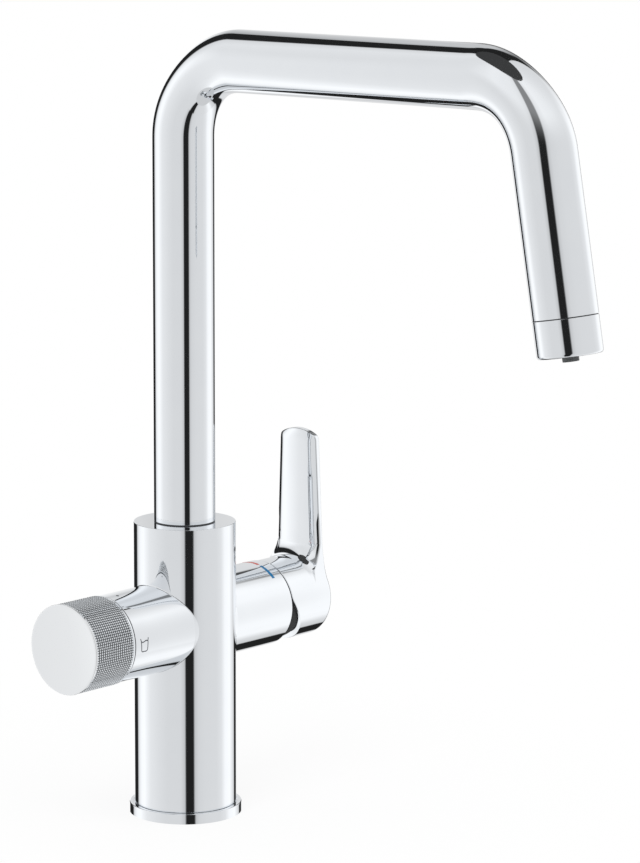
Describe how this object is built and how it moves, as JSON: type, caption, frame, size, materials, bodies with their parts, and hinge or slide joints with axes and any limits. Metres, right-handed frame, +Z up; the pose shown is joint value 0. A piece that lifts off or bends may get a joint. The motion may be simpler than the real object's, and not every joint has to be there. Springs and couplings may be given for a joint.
{
  "type": "filter kitchen mixer tap",
  "caption": "Deck-mounted kitchen mixer tap with a tall U-shaped swivel spout, a side lever, a knurled knob for filtered water and a second nozzle inside the outlet.",
  "frame": {"origin": "centre of the base ring's underside, on the worktop face", "axes": "+Z up along the body column, +X towards the mixer lever, -Y to the front, where the spout points at rest"},
  "size_m": [0.1709, 0.2757, 0.3859],
  "materials": {
    "chrome": "polished",
    "brass": "satin",
    "steel": "satin",
    "dark_plastic": "satin",
    "pale_plastic": "satin",
    "rubber": "matte",
    "ceramic": "satin",
    "red_enamel": "gloss",
    "blue_enamel": "gloss",
    "grey_enamel": "satin"
  },
  "bodies": {
    "body": {"base_ring": "chrome", "base_seal": "rubber", "body_shell": "chrome", "inlet_plate": "brass", "waterway_core": "dark_plastic", "core_seals": "rubber", "glass_mark": "grey_enamel", "hot_mark": "red_enamel", "cold_mark": "blue_enamel", "stop_screw": "steel", "upper_bush": "dark_plastic", "lower_bush": "dark_plastic", "cartridge_base": "pale_plastic", "cartridge_seals": "rubber", "cartridge_fixed_disc": "ceramic", "cartridge_housing": "pale_plastic", "cartridge_nut": "brass", "cover_cap": "chrome", "headpart_body": "brass", "headpart_seal": "rubber", "headpart_fixed_disc": "ceramic"},
    "spout": {"spout_tube": "chrome", "foot_ring": "chrome", "spout_spigot": "brass", "spigot_seals": "rubber", "filtered_tube": "pale_plastic", "outlet_adapter": "brass", "outlet_seal": "dark_plastic", "outlet_sleeve": "chrome", "aerator": "pale_plastic", "filter_nozzle": "dark_plastic"},
    "mixer_carrier": {"cartridge_carrier": "pale_plastic", "carrier_pin": "steel"},
    "mixer_disc": {"moving_disc": "ceramic", "disc_driver": "pale_plastic"},
    "lever": {"cartridge_stem": "brass", "lever": "chrome", "lever_screw": "steel", "lever_plug": "dark_plastic"},
    "filter_knob": {"spindle": "brass", "spindle_seal": "rubber", "headpart_turning_disc": "ceramic", "headpart_clip": "steel", "knob_adapter": "pale_plastic", "knob_sleeve": "chrome", "knob_cap": "chrome", "knob_screw": "steel"}
  },
  "joints": [
    {"name": "spout_swivel", "type": "hinge", "parent": "body", "child": "spout", "pos_m": [0, 0, 0.145], "axis": [0, 0, 1], "range_deg": [-75, 75]},
    {"name": "lever_turn", "type": "hinge", "parent": "body", "child": "mixer_carrier", "pos_m": [0.0615, 0, 0.09515], "axis": [1, 0, 0], "range_deg": [-50, 50]},
    {"name": "lever_tilt", "type": "hinge", "parent": "mixer_carrier", "child": "lever", "pos_m": [0.0615, 0, 0.09515], "axis": [0, 1, 0], "range_deg": [0, 16]},
    {"name": "disc_slide", "type": "slide", "parent": "mixer_carrier", "child": "mixer_disc", "axis": [0, 0, 1], "range_m": [0, 0.0049]},
    {"name": "filter_turn", "type": "hinge", "parent": "body", "child": "filter_knob", "pos_m": [-0.07, 0, 0.09515], "axis": [-1, 0, 0], "range_deg": [0, 90]}
  ],
  "couplings": [
    {"joint": "disc_slide", "follows": "lever_tilt", "m_per_rad": 0.01735}
  ]
}
